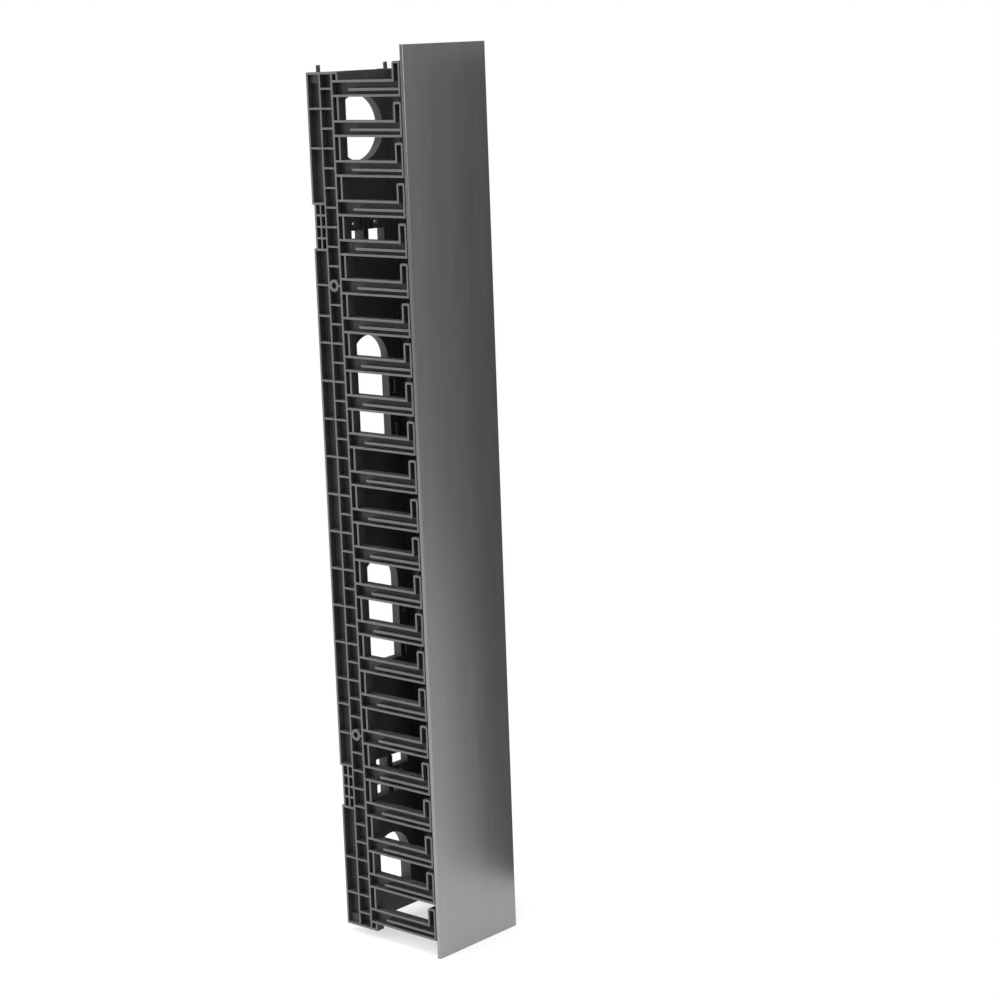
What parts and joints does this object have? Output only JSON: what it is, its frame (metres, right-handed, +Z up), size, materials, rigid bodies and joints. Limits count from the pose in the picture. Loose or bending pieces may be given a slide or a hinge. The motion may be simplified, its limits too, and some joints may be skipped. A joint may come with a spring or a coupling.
{
  "type": "vertical cable manager",
  "caption": "Upright duct with fingered side walls and a pierced back panel; a full-height cover swings open to either side to reach the cables.",
  "frame": {"origin": "bottom centre of the closed assembly", "axes": "+Z up along the duct; the cover faces -Y; +X to the right of someone who faces the back panel from the cover"},
  "size_m": [0.1366, 0.1556, 1.0525],
  "materials": {
    "wall_plastic": "moulded black, satin",
    "panel_plastic": "moulded black, satin",
    "clip_plastic": "moulded black",
    "peg_plastic": "moulded black",
    "rod_steel": "blackened",
    "screw_steel": "blackened",
    "cover_finish": "graphite, satin"
  },
  "bodies": {
    "duct": {"back_panel": "panel_plastic", "left_rear_rail": "wall_plastic", "right_rear_rail": "wall_plastic", "left_fingers": "wall_plastic", "right_fingers": "wall_plastic", "left_stacking_peg": "peg_plastic", "right_stacking_peg": "peg_plastic", "left_upper_wall_screw": "screw_steel", "left_lower_wall_screw": "screw_steel", "right_upper_wall_screw": "screw_steel", "right_lower_wall_screw": "screw_steel"},
    "left_rod": {"left_hinge_rod": "rod_steel", "left_rod_caps": "clip_plastic"},
    "cover": {"cover_panel": "cover_finish", "right_hinge_rod": "rod_steel", "right_rod_caps": "clip_plastic", "left_top_hinge_clip": "clip_plastic", "left_upper_hinge_clip": "clip_plastic", "left_lower_hinge_clip": "clip_plastic", "left_bottom_hinge_clip": "clip_plastic", "right_top_hinge_clip": "clip_plastic", "right_upper_hinge_clip": "clip_plastic", "right_lower_hinge_clip": "clip_plastic", "right_bottom_hinge_clip": "clip_plastic"}
  },
  "joints": [
    {"name": "cover_opens_right", "type": "hinge", "parent": "duct", "child": "left_rod", "pos_m": [0.0633, -0.07385, 0.51675], "axis": [0, 0, 1], "range_deg": [0, 110]},
    {"name": "cover_opens_left", "type": "hinge", "parent": "left_rod", "child": "cover", "pos_m": [-0.0633, -0.07385, 0.51675], "axis": [0, 0, -1], "range_deg": [0, 110]}
  ]
}
